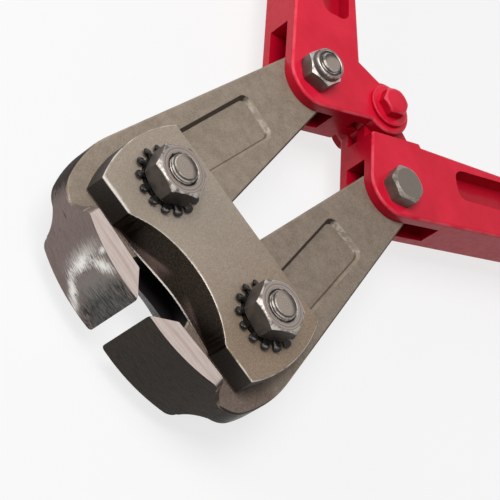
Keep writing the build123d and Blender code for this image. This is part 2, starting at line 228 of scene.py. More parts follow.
def rounded(path, radius, steps=6):
    """Rounds each inner corner of a profile: a curve from one side of the corner to the other, as the
    weighted mean of the two touching points and the corner. It takes up less than half of a side."""
    share = 0.45
    path = [np.array(p, float) for p in path]
    out = [path[0]]
    for before, corner, after in zip(path, path[1:], path[2:]):
        back, on = before - corner, after - corner
        cut = min(radius, share * np.linalg.norm(back), share * np.linalg.norm(on))
        start = corner + cut * back / np.linalg.norm(back)
        stop = corner + cut * on / np.linalg.norm(on)
        t = np.linspace(0, 1, steps)[:, None]
        out += list((1 - t) ** 2 * start + 2 * t * (1 - t) * corner + t**2 * stop)
    return out + [path[-1]]


THREAD_DEPTH = 0.5 * MM
THREAD_STEPS = 12
# share of the wave that is cut flat at the crest and at the root of a thread
THREAD_FLAT = 0.2


def thread_rows(radius, pitch, low, start, high, chamfer, theta):
    """Rows and depths of a bolt's plain shank and threaded end, from low to high. From start on, the radius
    falls and rises by a triangle wave of the level over the pitch less the share of a turn, and a cone
    takes off the end."""
    plain, whole = start - low, high - low
    run = np.concatenate([[0.0], np.arange(plain, whole, pitch / THREAD_STEPS), [whole]])
    run = run[:, None] * np.ones_like(theta)
    wave = np.abs(2 * ((run / pitch - theta / (2 * np.pi)) % 1.0) - 1)
    wave = np.clip((1 + 2 * THREAD_FLAT) * wave - THREAD_FLAT, 0, 1)
    sunk = wave * np.clip((run - plain) / pitch, 0, 1)
    radii = np.minimum(radius - THREAD_DEPTH * sunk, radius - chamfer + (run[-1] - run))
    return list(zip(radii, low + run)), sunk


def flipped(rows, base, way):
    """Rows drawn upwards from 0, laid at a base level and run up (1) or down (-1)."""
    return [(r, base + way * z) for r, z in rows]


def turned_grid(rows, theta, axis):
    """Grid of a profile turned about an upright axis: row i, column j is axis + (r cos t, r sin t, z)."""
    radii, levels = (np.array([np.broadcast_to(v, theta.shape) for v in part]) for part in zip(*rows))
    return np.stack([axis[0] + radii * np.cos(theta), axis[1] + radii * np.sin(theta), levels], -1)


# Shading
def shade(red, green, blue):
    """A colour given as it looks on a screen, 0 to 255, in the linear values that shaders use."""
    values = np.array([red, green, blue]) / 255
    linear = np.where(values <= 0.04045, values / 12.92, ((values + 0.055) / 1.055) ** 2.4)
    return (*linear.tolist(), 1.0)


class Wiring:
    """Shorthand for laying out the nodes of one shader tree."""

    def __init__(self, tree):
        self.tree = tree

    def node(self, kind, **settings):
        made = self.tree.nodes.new("ShaderNode" + kind)
        for key, value in settings.items():
            setattr(made, key, value)
        return made

    def feed(self, socket, value):
        if isinstance(value, bpy.types.NodeSocket):
            self.tree.links.new(value, socket)
        else:
            socket.default_value = value

    def feed_all(self, sockets, values):
        for socket, value in zip(sockets, values):
            self.feed(socket, value)

    def math(self, operation, a, b=0.0):
        made = self.node("Math", operation=operation)
        self.feed_all(made.inputs, (a, b))
        return made.outputs[0]

    def times(self, first, *others):
        for other in others:
            first = self.math("MULTIPLY", first, other)
        return first

    def plus(self, a, b):
        return self.math("ADD", a, b)

    def most(self, a, b):
        return self.math("MAXIMUM", a, b)

    def size(self, value):
        return self.math("ABSOLUTE", value)

    def mix(self, factor, a, b):
        made = self.node("Mix", data_type="RGBA")
        self.feed_all([made.inputs[k] for k in (0, 6, 7)], (factor, a, b))
        return made.outputs[2]

    def over(self, colour, mask, coat, share):
        """A coat laid on a colour where the mask is, by a share."""
        return self.mix(self.times(mask, share), colour, coat)

    def specked(self, skin, colour, darker=0.16, paler=0.10):
        """A colour with the specks of a blasted skin, some darker and some paler by a share."""
        dark, pale = self.mix(darker, colour, STRAP_SHADE_AND_DARK_SPECK), self.mix(paler, colour, PALE_WEAR_SPECK_AND_SHEEN)
        return self.mix(skin["Speck"], dark, pale)

    def step(self, value, low, high, start=0.0, stop=1.0):
        made = self.node("MapRange", interpolation_type="SMOOTHSTEP")
        self.feed_all(made.inputs, (value, low, high, start, stop))
        return made.outputs[0]

    def where(self, *pairs):
        """Product of steps, one for each value and the pair that it runs over."""
        return self.times(*(self.step(value, *pair) for value, pair in zip(pairs[::2], pairs[1::2])))

    def between(self, share, start, stop):
        """From one value to another as a share goes from 0 to 1."""
        return self.step(share, 0.0, 1.0, start, stop)

    def filled(self, made, **values):
        """Outputs of a node whose named inputs are fed."""
        for key, value in values.items():
            self.feed(made.inputs[key], value)
        return made.outputs

    def use(self, group, **values):
        return self.filled(self.node("Group", node_tree=group), **values)

    def noise(self, vector, scale, detail=2.0, rough=0.5):
        made = self.node("TexNoise")
        return self.filled(made, Vector=vector, Scale=scale, Detail=detail, Roughness=rough)[0]

    def kept(self, name):
        """A number that the piece keeps for each of its points."""
        return self.node("Attribute", attribute_name=name).outputs["Fac"]

    def coords(self):
        return self.node("TexCoord").outputs["Object"]

    def split(self, vector):
        return self.filled(self.node("SeparateXYZ"), Vector=vector)

    def normal(self):
        return self.split(self.node("TexCoord").outputs["Normal"])

    def mapped(self, vector, location=(0, 0, 0), rotation=(0, 0, 0), scale=(1, 1, 1), kind="POINT"):
        made = self.node("Mapping", vector_type=kind)
        return self.filled(made, Vector=vector, Location=location, Rotation=rotation, Scale=scale)[0]

    def from_head(self, vector):
        """Place measured from the point midway between the jaw bolts."""
        return self.split(self.mapped(vector, location=head, kind="TEXTURE"))

    def spot(self, vector, place, turn, size, ragged):
        """How far a point lies within an oval in x and z, from 0 at its edge to 1 near its middle: the
        distance is taken along the oval's own axes, in half axes, and ragged is added to it."""
        axes = self.mapped(
            vector, (place[0], 0, place[1]), (0, -math.radians(turn), 0), (size[0], 1, size[1]), "TEXTURE"
        )
        away = self.filled(self.node("VectorMath", operation="LENGTH"), Vector=axes)["Value"]
        return self.step(self.plus(away, ragged), 1.0, 0.0)


def node_group(name, inputs, outputs, recipe):
    """A shader node group: recipe takes the wiring and the inputs, and returns the outputs. Vector is a
    vector, all others are numbers."""
    tree = bpy.data.node_groups.new(name, "ShaderNodeTree")
    for way, labels in (("INPUT", inputs), ("OUTPUT", outputs)):
        for label in labels:
            kind = "NodeSocketVector" if label == "Vector" else "NodeSocketFloat"
            tree.interface.new_socket(name=label, in_out=way, socket_type=kind)
    source = tree.nodes.new("NodeGroupInput")
    sink = tree.nodes.new("NodeGroupOutput")
    wiring = Wiring(tree)
    wiring.feed_all(sink.inputs, recipe(wiring, source.outputs))
    return tree


def grain_recipe(w, given):
    """Sand-blasted skin: fine specks, broad mottling, and pits where cells of the finest size are deep."""
    fine = w.noise(given["Vector"], given["Scale"], 3.0, 0.7)
    coarse = w.noise(given["Vector"], w.times(given["Scale"], 0.11), 3.0, 0.6)
    cells = w.filled(w.node("TexVoronoi"), Vector=given["Vector"], Scale=w.times(given["Scale"], 0.55))
    pits = w.step(cells[0], 0.0, 0.30)
    height = w.plus(w.times(fine, 0.8), w.times(pits, 0.2))
    return w.step(fine, 0.32, 0.68), w.step(coarse, 0.30, 0.70), height


def rim_recipe(w, given):
    """Rounded edges of a plate, worn and with painted highlights, are where the normal leans between flat
    and upright; a noise breaks them.
    """
    lean = w.size(w.normal()[2])
    band = w.times(w.step(lean, 0.12, 0.45), w.step(lean, 0.985, 0.80))
    broken = w.step(w.noise(given["Vector"], given["Scale"], 3.0, 0.6), given["From"], given["To"])
    return w.times(band, broken), w.step(lean, 0.45, 0.15)


def grind_recipe(w, given):
    """Grinding marks: noise drawn out along one direction by a scale that is small along it."""
    lines = w.noise(given["Vector"], 1.0, 4.0, 0.75)
    broad = w.noise(given["Vector"], 0.12)
    return w.step(lines, 0.30, 0.70), broad


def enamel_recipe(w, given):
    """Thick enamel: a slow swell like orange peel and rare specks of dust."""
    peel = w.noise(given["Vector"], 420.0)
    swell = w.noise(given["Vector"], 60.0)
    dust = w.step(w.noise(given["Vector"], 2600.0), 0.70, 0.78)
    return peel, swell, dust


grain = node_group("blasted grain", ("Vector", "Scale"), ("Speck", "Mottle", "Height"), grain_recipe)
rim = node_group("rim wear and sheen", ("Vector", "Scale", "From", "To"), ("WearAndSheen", "Side"), rim_recipe)
grind = node_group("grinding marks", ("Vector",), ("Lines", "Broad"), grind_recipe)
enamel_skin = node_group("enamel skin", ("Vector",), ("Peel", "Swell", "Dust"), enamel_recipe)


def finish(name, bump, recipe, given, **constants):
    """A material: recipe returns what changes over the surface, constants go on the shader's own sockets."""
    material = bpy.data.materials.new(name)
    material.use_nodes = True
    wiring = Wiring(material.node_tree)
    shader = material.node_tree.nodes["Principled BSDF"]
    for key, value in constants.items():
        shader.inputs[key.replace("_", " ")].default_value = value
    looks = recipe(wiring, **given)
    height = looks.pop("Height")
    relief = wiring.filled(wiring.node("Bump"), Strength=1.0, Distance=bump, Height=height)
    wiring.filled(shader, Normal=relief[0], **looks)
    return material


# colours as they look in plain light: straps
STRAP_PALE = shade(157, 143, 128)
STRAP_BROWN = shade(137, 116, 95)
# painted shade for the upright sides, also the dark specks of the grain
STRAP_SHADE_AND_DARK_SPECK = shade(38, 33, 29)
STRAP_SHADE_SPECK = shade(56, 49, 43)
# pale for worn rims and painted highlights, also the pale specks of the grain
PALE_WEAR_SPECK_AND_SHEEN = shade(214, 206, 196)
# painted shade for the scoop at the strap's front
SCOOP_SHADE_DARK = shade(30, 25, 21)
SCOOP_SHADE_PALE = shade(54, 46, 39)
SCOOP_SHADE_BROWN = shade(98, 80, 75)
# painted highlight along the scoop's lip
LIP_HIGHLIGHT = shade(232, 222, 212)
# blasted arms and hubs of the jaws
LEFT_FACE = shade(156, 142, 126)
LEFT_DARK = shade(141, 127, 112)
RIGHT_FACE = shade(145, 130, 115)
RIGHT_DARK = shade(131, 116, 102)
# painted shade for the upright sides of the jaws
JAW_SIDE_SHADE = shade(66, 57, 50)
JAW_SHADE_SPECK = shade(100, 88, 78)
# pale for worn rims and painted highlights on the jaws
JAW_RIM_WEAR_AND_SHEEN = shade(172, 157, 138)
# painted shade along the walls of the panel
PANEL_WALL_SHADE = shade(66, 54, 47)
# ground beaks, their crescents and the throat
GROUND_BROWN = shade(106, 92, 88)
GROUND_PALE = shade(131, 116, 111)
GROUND_GREY = shade(136, 132, 127)
GROUND_TIP = shade(26, 22, 19)
# bright ridges of the grinding lines, also the painted reflections on the left beak
GROUND_RIDGE_AND_REFLECTION = shade(250, 247, 241)
SCALE_BLACK = shade(46, 39, 37)
SHADED_DARK = shade(42, 36, 31)
SHADED_PALE = shade(64, 56, 49)
CRESCENT_LIGHT = shade(212, 196, 190)
CRESCENT_DARK = shade(190, 174, 167)
CRESCENT_TAN = shade(168, 148, 134)
# painted shade in the throat
THROAT_SHADE_BLACK = shade(44, 40, 41)
# painted shade in bores, grooves and on shaded flanks, also the black of nicks
SHADE_AND_NICK_BLACK = shade(30, 27, 25)
# painted shadow of the strap on the tops of the jaws
STRAP_SHADOW_BROWN = shade(108, 90, 81)
# enamel, rubber and nylon
RED_LIT = shade(230, 28, 60)
RED_DEEP = shade(217, 17, 50)
# painted highlight on the red rims, also the pale specks of dust
RED_RIM_SHEEN_AND_DUST = shade(236, 110, 122)
# painted shade on the sides and in the recesses of the heads
RED_SHADE = shade(168, 0, 30)
RUBBER_DARK = shade(30, 30, 32)
RUBBER_PALE = shade(44, 44, 46)
RUBBER_DUST = shade(78, 76, 74)
NYLON_DARK = shade(36, 35, 34)
NYLON_PALE = shade(58, 56, 54)

# scale of the blasted grain
STEEL_GRAIN = 2300.0
LATHE_GRAIN = 1900.0
RUBBER_GRAIN = 1500.0
NYLON_GRAIN = 900.0

# Where marks lie on a strap, from the point midway between the jaw bolts. In each pair the mark begins at
# the first value and is full at the second. A LEAN is how flat a face lies, from 0, upright, to 1, flat.
# a ramp of tone across the broad faces
TONE_ACROSS = mm(-6, 38)
TONE_RAGGED = 8 * MM
# the left front corner, painted bright as wear and as a highlight
CORNER_SHEEN_FRONT = mm(-18.8, -19.7)
CORNER_SHEEN_LEFT = mm(-24, -26)
CORNER_SHEEN_LEAN = (0.3, 0.6)
CORNER_SHEEN_RAGGED = 1.6 * MM
CORNER_SHEEN_GRAIN = (260, 900, 900)
SCOOP_FRONT = mm(-9.5, -10.5)
SCOOP_WIDTH = mm(25.2, 24.6)
SCOOP_LEAN = (0.84, 0.74)
SCOOP_MIDDLE = 2 * MM
SCOOP_ASIDE = mm(3, 9)
# a browner band in the scoop's painted shade
BROWN_BAND_LEVEL = mm(9.2, 8)
BROWN_BAND_SLOPE = 0.15
BROWN_BAND_GRAIN = (60, 160, 300)
LIP_LEVEL = mm(5.15, 4.95)
LIP_FRONT = mm(-15.5, -16.5)
LIP_UPPER = mm(0, 4)
LIP_LEFT = mm(-24, -18)
# the inner faces, painted near black as shade
INNER_SHADE_LEVEL = mm(4.95, 4.8)
INNER_SHADE_LEAN = (0.8, 0.9)


def strap_recipe(w, polish):
    """Blasted steel on the broad faces, painted near black as shade on the upright sides, bright where the
    rims are worn and painted with a highlight. The leaning scoop at the front is painted dark and brown as
    shade, its lip carries a painted highlight line, and the faces that hold the jaws are painted near black as
    shade; polish is how far the scoop and those faces gleam as bare metal."""
    at = w.coords()
    x, y, z = w.from_head(at)
    level = w.size(z)
    lean = w.size(w.normal()[2])
    skin = w.use(grain, Vector=at, Scale=STEEL_GRAIN)
    edge = w.use(rim, Vector=at, Scale=160.0, From=0.36, To=0.52)
    # the broad faces run from paler at the left to browner at the right
    tone_across = w.plus(x, w.times(skin["Mottle"], TONE_RAGGED))
    face = w.specked(skin, w.mix(w.step(tone_across, *TONE_ACROSS), STRAP_PALE, STRAP_BROWN))
    # painted shade: the upright sides are near black, with paler specks
    side = w.mix(skin["Speck"], STRAP_SHADE_AND_DARK_SPECK, STRAP_SHADE_SPECK)
    colour = w.mix(edge["Side"], face, side)
    # the rims are pale where worn and where a highlight is painted
    colour = w.over(colour, edge["WearAndSheen"], PALE_WEAR_SPECK_AND_SHEEN, 0.85)
    # the left front corner is painted bright, as wear and as a highlight on its edge
    corner_noise = w.noise(w.mapped(at, scale=CORNER_SHEEN_GRAIN), 1.0, 3.0, 0.6)
    near = w.plus(y, w.times(corner_noise, CORNER_SHEEN_RAGGED))
    worn_and_lit = w.where(near, CORNER_SHEEN_FRONT, x, CORNER_SHEEN_LEFT, lean, CORNER_SHEEN_LEAN)
    colour = w.over(colour, worn_and_lit, PALE_WEAR_SPECK_AND_SHEEN, 0.9)
    # painted shade: the scoop is dark, browner towards its lip and dark in its middle
    out = w.size(x)
    scoop = w.where(y, SCOOP_FRONT, out, SCOOP_WIDTH, lean, SCOOP_LEAN)
    aside = w.step(w.size(w.math("SUBTRACT", x, SCOOP_MIDDLE)), *SCOOP_ASIDE)
    band_noise = w.step(w.noise(w.mapped(at, scale=BROWN_BAND_GRAIN), 1.0), 0.30, 0.60, 0.35, 1.0)
    bent_level = w.plus(level, w.times(out, BROWN_BAND_SLOPE))
    brown = w.times(w.step(bent_level, *BROWN_BAND_LEVEL), aside, band_noise)
    leaning = w.mix(brown, w.mix(skin["Speck"], SCOOP_SHADE_DARK, SCOOP_SHADE_PALE), SCOOP_SHADE_BROWN)
    colour = w.mix(scoop, colour, leaning)
    # painted highlight: a bright line along the lip
    lip = w.where(z, LIP_LEVEL, y, LIP_FRONT, z, LIP_UPPER, x, LIP_LEFT)
    colour = w.mix(lip, colour, LIP_HIGHLIGHT)
    # painted shade: the faces that hold the jaws, seen in the throat, are near black
    shaded_inner = w.where(level, INNER_SHADE_LEVEL, lean, INNER_SHADE_LEAN)
    colour = w.mix(shaded_inner, colour, THROAT_SHADE_BLACK)
    rough = w.between(skin["Speck"], 0.66, 0.50)
    rough = w.math("SUBTRACT", rough, w.times(w.most(edge["WearAndSheen"], scoop), 0.25))
    metallic = w.between(w.most(scoop, shaded_inner), 0.3, polish)
    return {"Base Color": colour, "Roughness": rough, "Metallic": metallic, "Height": skin["Height"]}


# Where marks lie on a jaw, in pairs as above, from its own bolt: x is away from the other jaw, y towards the
# handles.
PANEL_ALONG = mm(14, 18)
PANEL_LEVEL = mm(4.46, 4.36)
PANEL_LEAN = (0.98, 0.9)
PANEL_FOOT = mm(3.5, 3.2)
FRONT_ALONG = mm(-2, -16)
FRONT_FACING = (0.35, 0.05)
CHEEK_ACROSS = mm(-14, -11)
EDGE_ALONG = mm(-27.5, -29)
GROUND_LEAN = (0.95, 0.75)
GROUND_GRAIN = (330, 330, 2600)
GROUND_TILT = (0, 0.12, 0)
OVAL_DARKER_ACROSS = mm(-11, -21)
SCALE_ACROSS = mm(12, 17)
SCALE_RAGGED = 4 * MM
CRESCENT_LEVEL = mm(11.9, 12.2)
CRESCENT_LEAN = (0.8, 0.95)
CRESCENT_GRAIN = (130, 2200, 260)
CRESCENT_TILT = (0, 0, 0.25)
# where the painted shadow of the strap lies on the jaw's top
STRAP_SHADOW_FADE = 5 * MM
STRAP_SHADOW_ALONG = mm(-6, -12)
STRAP_SHADOW_LEVEL = mm(5.6, 5.2)
STRAP_SHADOW_LEAN = (0.85, 0.98)
THROAT_ACROSS = mm(-10, -12)
THROAT_TIP = mm(-33, -28)
THROAT_HUB = mm(8, 2)
THROAT_LEAN = (0.60, 0.30)

# bright patches of painted reflection on the left beak, in the jaw's own x and z: place, turn, half axes,
# strength
PAINTED_REFLECTIONS = (
    (mm(-7.6, 0.2), 86, mm(7.6, 3), 1.0),
    (mm(-11.6, 8.2), 143, mm(5.8, 3.2), 1.0),
    (mm(-13.2, -8.8), 34, mm(10, 2.5), 1.0),
    (mm(-7.7, 11.2), 90, mm(2.4, 1.6), 0.9),
    (mm(-5.6, 3), 88, mm(11.5, 4), 0.42),
)
# nicks on the same beak, in the same order
NICKS = (
    (mm(7.4, 1.2), 166, mm(2.3, 0.35), 0.9),
    (mm(4.6, -3), 150, mm(1.3, 0.25), 0.5),
    (mm(-10.2, -0.5), 120, mm(0.8, 0.5), 0.7),
    (mm(-14.3, -8.3), 60, mm(0.7, 0.5), 0.8),
)
# an oval on that beak, grey with grinding lines and darker towards the tip
GREY_OVAL_AT = mm(-24.5, 0.6)
GREY_OVAL_SIZE = mm(16.5, 17)


def jaw_recipe(w, own_frame, blasted, ground_shades, marked_beak, shine, shadow_reach):
    """Forged and blasted arm and hub; ground beak front and cheek; pale ground crescents; throat in painted
    shade.
    Where each begins is told by the place about the jaw's own bolt and by the normal. A marked beak has bright
    patches of painted reflection, a grey oval, nicks and scale; shine is how far it gleams as metal, and the
    last argument how far the painted shadow of the strap reaches."""
    bolt, turn, mirror = own_frame
    at = w.coords()
    own = w.mapped(at, location=bolt, rotation=(0, 0, turn), scale=(mirror, 1, 1), kind="TEXTURE")
    x, y, z = w.split(own)
    nx, ny, nz = w.normal()
    lean = w.size(nz)
    level = w.size(z)
    skin = w.use(grain, Vector=at, Scale=STEEL_GRAIN)
    edge = w.use(rim, Vector=at, Scale=140.0, From=0.30, To=0.60)
    face = w.specked(skin, w.mix(skin["Mottle"], *blasted))
    # painted shade: the upright sides are dark, with paler specks
    side = w.mix(skin["Speck"], JAW_SIDE_SHADE, JAW_SHADE_SPECK)
    colour = w.mix(edge["Side"], face, side)
    # the rims are pale where worn and where a highlight is painted
    colour = w.over(colour, edge["WearAndSheen"], JAW_RIM_WEAR_AND_SHEEN, 0.7)
    # painted shade lies along the walls of the panel in the arm, on one of them only at its foot
    panel = w.where(y, PANEL_ALONG, level, PANEL_LEVEL, lean, PANEL_LEAN)
    foot = w.step(level, *PANEL_FOOT, 0.1, 0.75)
    along = w.plus(w.step(nx, 0.15, 0.5), w.times(w.step(nx, -0.15, -0.5), foot))
    colour = w.over(colour, panel, PANEL_WALL_SHADE, along)
    # the wall at the end of the panel is painted pale in places, as wear and as a highlight
    end_wall_sheen = w.step(w.noise(at, 420.0, 3.0, 0.6), 0.46, 0.58, 0.08, 0.45)
    end_wall_sheen = w.times(panel, w.step(ny, -0.5, -0.75), end_wall_sheen)
    colour = w.mix(end_wall_sheen, colour, PALE_WEAR_SPECK_AND_SHEEN)
    # the ground front and cheek
    front = w.where(y, FRONT_ALONG, ny, FRONT_FACING)
    outside = w.most(w.step(x, *CHEEK_ACROSS), w.step(y, *EDGE_ALONG))
    ground = w.times(front, outside, w.step(lean, *GROUND_LEAN))
    marks = w.use(grind, Vector=w.mapped(own, scale=GROUND_GRAIN, rotation=GROUND_TILT))
    metal = w.over(ground_shades[0], marks["Lines"], ground_shades[1], 0.8)
    metal = w.over(metal, skin["Speck"], ground_shades[1], 0.25)
    if marked_beak:
        ragged = w.times(w.math("SUBTRACT", marks["Lines"], 0.5), 0.9)
        grey_oval = w.spot(own, GREY_OVAL_AT, 0, GREY_OVAL_SIZE, ragged)
        oval_colour = w.mix(w.step(x, *OVAL_DARKER_ACROSS), GROUND_GREY, GROUND_TIP)
        furrow, ridge = w.mix(0.35, oval_colour, GROUND_TIP), w.mix(0.14, oval_colour, GROUND_RIDGE_AND_REFLECTION)
        oval_colour = w.mix(marks["Lines"], furrow, ridge)
        metal = w.mix(w.step(grey_oval, 0.0, 0.3), metal, oval_colour)
        streak = w.plus(w.times(marks["Lines"], 0.34), 0.76)
        # painted reflections: bright patches broken by the grinding lines
        for place, lie, size, strength in PAINTED_REFLECTIONS:
            patch = w.times(w.spot(own, place, lie, size, ragged), strength)
            metal = w.over(metal, patch, GROUND_RIDGE_AND_REFLECTION, streak)
        for place, lie, size, strength in NICKS:
            metal = w.over(metal, w.spot(own, place, lie, size, 0.0), SHADE_AND_NICK_BLACK, strength)
        # black scale is left on the outer side of the hub
        scale = w.step(w.plus(x, w.times(ragged, SCALE_RAGGED)), *SCALE_ACROSS)
        metal = w.mix(scale, metal, SCALE_BLACK)
    colour = w.mix(ground, colour, metal)
    # the ground crescents
    crescent = w.where(level, CRESCENT_LEVEL, lean, CRESCENT_LEAN)
    across = w.use(grind, Vector=w.mapped(own, scale=CRESCENT_GRAIN, rotation=CRESCENT_TILT))
    bared = w.mix(across["Lines"], CRESCENT_DARK, CRESCENT_LIGHT)
    bared = w.mix(w.step(across["Broad"], 0.48, 0.66, 0.0, 0.55), bared, CRESCENT_TAN)
    colour = w.mix(crescent, colour, bared)
    # painted shadow of the strap: the top beside the throat is darker and browner
    reach = (shadow_reach, shadow_reach - STRAP_SHADOW_FADE)
    strap_shadow = w.where(x, reach, y, STRAP_SHADOW_ALONG, level, STRAP_SHADOW_LEVEL, lean, STRAP_SHADOW_LEAN)
    colour = w.over(colour, strap_shadow, w.specked(skin, STRAP_SHADOW_BROWN, 0.22, 0.12), 0.85)
    # painted shade: the walls of the throat are near black
    inside = w.where(x, THROAT_ACROSS, y, THROAT_TIP, lean, THROAT_LEAN, y, THROAT_HUB)
    colour = w.mix(inside, colour, THROAT_SHADE_BLACK)
    bright = w.most(ground, crescent)
    rough = w.mix(bright, w.between(skin["Speck"], 0.66, 0.52), w.between(marks["Lines"], 0.46, 0.30))
    metallic = w.between(ground, 0.2, shine)
    if marked_beak:
        scaled = w.times(scale, ground)
        rough = w.most(rough, w.between(scaled, 0.0, 0.9))
        metallic = w.times(metallic, w.between(scaled, 1.0, 0.0))
    relief = w.times(skin["Height"], w.step(bright, 0.9, 0.1))
    relief = w.plus(relief, w.times(marks["Lines"], 0.35, bright))
    return {"Base Color": colour, "Roughness": rough, "Metallic": metallic, "Height": relief}


# painted shade lies in a ring at the bore, from a little inside it to a little outside
BORE_SHADE_OUTSIDE = 0.25 * MM
BORE_SHADE_INSIDE = mm(0.5, 0.3)


def turned_recipe(w, shades, bore=0.0, matt=0.50, gloss=0.34, soiled=0.0):
    """Turned steel: mottled flats, faces with the rings that the lathe leaves, edges worn and painted bright
    as glints where they lean between flat and upright, and painted shade, near black, at the bore, told by its
    distance from the axis, and in the thread. The flanks that face right are painted near black as shade by a
    share."""
    dark, light, face, glint = shades
    at = w.coords()
    skin = w.use(grain, Vector=at, Scale=LATHE_GRAIN)
    edge = w.use(rim, Vector=at, Scale=420.0, From=0.35, To=0.60)
    away = w.kept("from_axis")
    # a noise of the distance from the axis alone gives rings
    rings = w.filled(w.node("TexNoise", noise_dimensions="1D"), W=away, Scale=3200.0, Detail=2.0)[0]
    facing = w.normal()
    flat = w.step(w.size(facing[2]), 0.90, 0.97)
    colour = w.mix(skin["Mottle"], dark, light)
    # painted shade: the flanks that face right are near black by a share
    colour = w.over(colour, w.step(facing[0], 0.2, 0.5), SHADE_AND_NICK_BLACK, soiled)
    colour = w.mix(flat, colour, w.mix(w.step(rings, 0.35, 0.65), light, face))
    # edges worn and painted bright as glints
    colour = w.over(colour, edge["WearAndSheen"], glint, 0.75)
    # painted shade in the bore and in the thread's grooves
    inner, outer = (bore - reach for reach in BORE_SHADE_INSIDE)
    hollow = w.times(w.step(away, bore + BORE_SHADE_OUTSIDE, bore), w.step(away, inner, outer))
    sunk = w.most(hollow, w.step(w.kept("in_groove"), 0.35, 0.85))
    colour = w.over(colour, sunk, SHADE_AND_NICK_BLACK, 0.9)
    rough = w.between(skin["Speck"], matt, gloss)
    relief = w.plus(skin["Height"], w.times(rings, flat, 0.8))
    return {"Base Color": colour, "Roughness": rough, "Height": relief}


# the recesses of the handle heads, by their level from the middle of the tool
RECESS_LEVEL = mm(7.6, 6.8)


def paint_recipe(w, rim_highlight, shaded):
    """Enamel: depth changes slowly, with a few specks of dust. On plates the rims are painted paler as a
    highlight, and the sides and the recesses are painted darker as shade, each by its share."""
    at = w.coords()
    skin = w.use(enamel_skin, Vector=at)
    edge = w.use(rim, Vector=at, Scale=120.0, From=0.30, To=0.62)
    colour = w.mix(w.step(skin["Swell"], 0.35, 0.65), RED_DEEP, RED_LIT)
    level = w.size(w.from_head(at)[2])
    sunk = w.most(edge["Side"], w.step(level, *RECESS_LEVEL))
    # painted shade on the sides and in the recesses
    colour = w.over(colour, sunk, RED_SHADE, shaded)
    # painted highlight on the rims
    colour = w.over(colour, edge["WearAndSheen"], RED_RIM_SHEEN_AND_DUST, rim_highlight)
    colour = w.over(colour, skin["Dust"], RED_RIM_SHEEN_AND_DUST, 0.25)
    rough = w.step(skin["Peel"], 0.3, 0.7, 0.30, 0.42)
    return {"Base Color": colour, "Roughness": rough, "Height": skin["Peel"]}


def rubber_recipe(w):
    """Moulded rubber: fine matt stipple and faint dust in specks."""
    skin = w.use(grain, Vector=w.coords(), Scale=RUBBER_GRAIN)
    colour = w.mix(skin["Mottle"], RUBBER_DARK, RUBBER_PALE)
    colour = w.over(colour, skin["Speck"], RUBBER_DUST, 0.2)
    rough = w.between(skin["Speck"], 0.62, 0.82)
    return {"Base Color": colour, "Roughness": rough, "Height": skin["Height"]}


def nylon_recipe(w):
    """Nylon ring: cloudy and dark."""
    skin = w.use(grain, Vector=w.coords(), Scale=NYLON_GRAIN)
    colour = w.mix(skin["Mottle"], NYLON_DARK, NYLON_PALE)
    rough = w.between(skin["Speck"], 0.5, 0.4)
    return {"Base Color": colour, "Roughness": rough, "Height": skin["Height"]}


# each jaw's own frame: its bolt, how far it is turned, and 1 or -1 for the way its x points
swing = math.radians(JAW_OPEN)
left_frame = ((left_bolt.x, left_bolt.y, mid_level), -swing, -1)
right_frame = ((right_bolt.x, right_bolt.y, mid_level), swing, 1)
left_looks = dict(
    own_frame=left_frame, blasted=(LEFT_DARK, LEFT_FACE), ground_shades=(GROUND_BROWN, GROUND_PALE),
    marked_beak=True, shine=0.6, shadow_reach=6 * MM,
)
right_looks = dict(
    own_frame=right_frame, blasted=(RIGHT_DARK, RIGHT_FACE), ground_shades=(SHADED_DARK, SHADED_PALE),
    marked_beak=False, shine=0.1, shadow_reach=40 * MM,
)

# how high the relief of each surface stands
FORGED_BUMP = 0.12 * MM
FASTENER_BUMP = 0.05 * MM
SMOOTH_BUMP = 0.03 * MM
DULL_BUMP = 0.06 * MM
PAINT_BUMP = 0.05 * MM
RUBBER_BUMP = 0.15 * MM


def turned_steel(name, bump, metallic, *shades, **more):
    """Turned steel in its four shades: dark, light, face and glint."""
    given = {"shades": [shade(*s) for s in shades], **more}
    return finish(name, bump, turned_recipe, given, Metallic=metallic)


upper_strap_steel = finish("upper strap steel", FORGED_BUMP, strap_recipe, {"polish": 0.95})
lower_strap_steel = finish(
    "lower strap steel", FORGED_BUMP, strap_recipe, {"polish": 0.0}, Specular_IOR_Level=0.05
)
left_jaw_steel = finish("left jaw steel", FORGED_BUMP, jaw_recipe, left_looks, Specular_IOR_Level=0.2)
right_jaw_steel = finish("right jaw steel", FORGED_BUMP, jaw_recipe, right_looks, Specular_IOR_Level=0.12)
dark_steel = turned_steel(
    "blackened steel", FASTENER_BUMP, 0.6, (80, 74, 70), (104, 97, 92), (170, 155, 146), (226, 217, 209),
    bore=5.45 * MM, soiled=0.75,
)
star_steel = turned_steel(
    "black spring steel", SMOOTH_BUMP, 0.5, (18, 16, 15), (28, 26, 24), (28, 26, 24), (36, 33, 31),
    matt=0.30, gloss=0.20,
)
bolt_steel = turned_steel(
    "bolt steel", FASTENER_BUMP, 0.4, (98, 89, 82), (136, 124, 115), (158, 145, 134), (204, 194, 184)
)
bright_steel = turned_steel(
    "plated steel", SMOOTH_BUMP, 0.85, (92, 83, 79), (116, 106, 101), (142, 130, 124), (226, 219, 212),
    bore=4.05 * MM,
)
dull_steel = turned_steel(
    "dull steel", DULL_BUMP, 0.3, (88, 80, 73), (106, 97, 88), (118, 108, 99), (168, 158, 147)
)
varnish = {"Specular_IOR_Level": 0.18, "Coat_Weight": 0.08, "Coat_Roughness": 0.15}
red_paint = finish("red enamel", PAINT_BUMP, paint_recipe, {"rim_highlight": 0.5, "shaded": 0.7}, **varnish)
tube_paint = finish("red enamel on tubes", PAINT_BUMP, paint_recipe, {"rim_highlight": 0.0, "shaded": 0.0}, **varnish)
